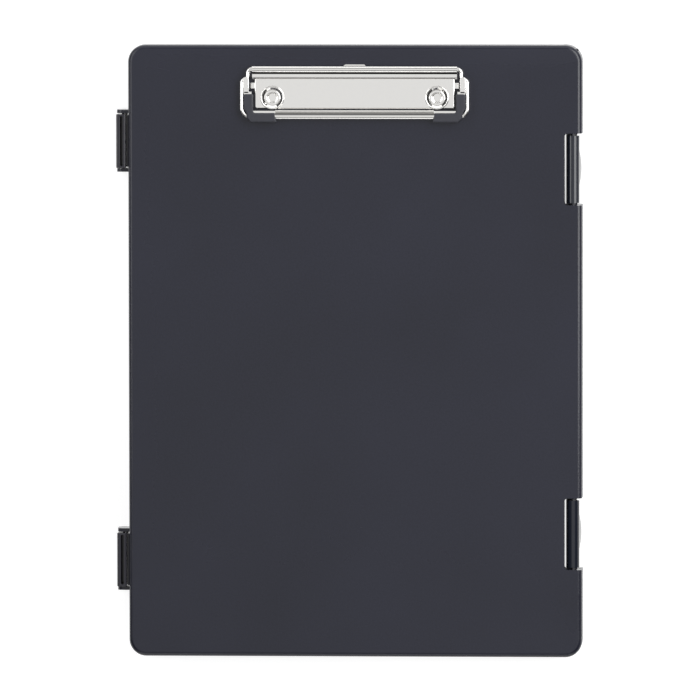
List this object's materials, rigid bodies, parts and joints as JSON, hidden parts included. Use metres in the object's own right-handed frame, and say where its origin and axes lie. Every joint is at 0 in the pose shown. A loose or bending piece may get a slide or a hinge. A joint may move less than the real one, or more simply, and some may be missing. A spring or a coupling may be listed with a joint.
{
  "type": "storage clipboard box",
  "caption": "Slim side-opening storage clipboard: shallow tray, hinged writing lid with a low spring clip, two hinge knuckles and two side latches.",
  "frame": {"origin": "on the flat underside of the tray, in the middle of the case outline (latches left out)", "axes": "+X towards the hinge side, +Y towards the clip end, +Z out of the writing face"},
  "size_m": [0.2465, 0.324, 0.0247],
  "materials": {
    "case": "fine matte grain",
    "hinge_plastic": "smooth",
    "latch_plastic": "satin",
    "pin_steel": "drawn, blackened",
    "clip_nickel": "bright nickel plate",
    "corner_rubber": "soft matte"
  },
  "bodies": {
    "case_tray": {"tray": "case", "hinge_knuckle_upper": "hinge_plastic", "hinge_knuckle_lower": "hinge_plastic", "latch_pin_upper": "pin_steel", "latch_pin_lower": "pin_steel"},
    "case_lid": {"lid": "case", "lid_rim": "case", "hinge_pin_upper": "pin_steel", "hinge_pin_lower": "pin_steel", "clip_plate": "clip_nickel", "clip_rivet_left": "clip_nickel", "clip_rivet_right": "clip_nickel", "rivet_washer_left": "pin_steel", "rivet_washer_right": "pin_steel"},
    "upper_lever": {"latch_upper": "latch_plastic"},
    "lower_lever": {"latch_lower": "latch_plastic"},
    "clip_bail": {"clip_wire": "clip_nickel", "clip_jaw": "clip_nickel", "clip_corner_left": "corner_rubber", "clip_corner_right": "corner_rubber"},
    "hanger": {"hanger_tab": "clip_nickel"}
  },
  "joints": [
    {"name": "lid_hinge", "type": "hinge", "parent": "case_tray", "child": "case_lid", "pos_m": [0.1153, 0, 0.0168], "axis": [0, 1, 0], "range_deg": [0, 180]},
    {"name": "latch_upper_pivot", "type": "hinge", "parent": "case_tray", "child": "upper_lever", "pos_m": [-0.1234, 0.111, 0.0032], "axis": [0, -1, 0], "range_deg": [-4.5, 80]},
    {"name": "latch_lower_pivot", "type": "hinge", "parent": "case_tray", "child": "lower_lever", "pos_m": [-0.1234, -0.111, 0.0032], "axis": [0, -1, 0], "range_deg": [-4.5, 80]},
    {"name": "clip_spring", "type": "hinge", "parent": "case_lid", "child": "clip_bail", "pos_m": [0, 0.1494, 0.0227], "axis": [-1, 0, 0], "range_deg": [0, 55], "stiffness_Nm_per_rad": 0.1, "springref_deg": -17.19},
    {"name": "hanger_slide", "type": "slide", "parent": "case_lid", "child": "hanger", "axis": [0, 1, 0], "range_m": [0, 0.017]}
  ]
}
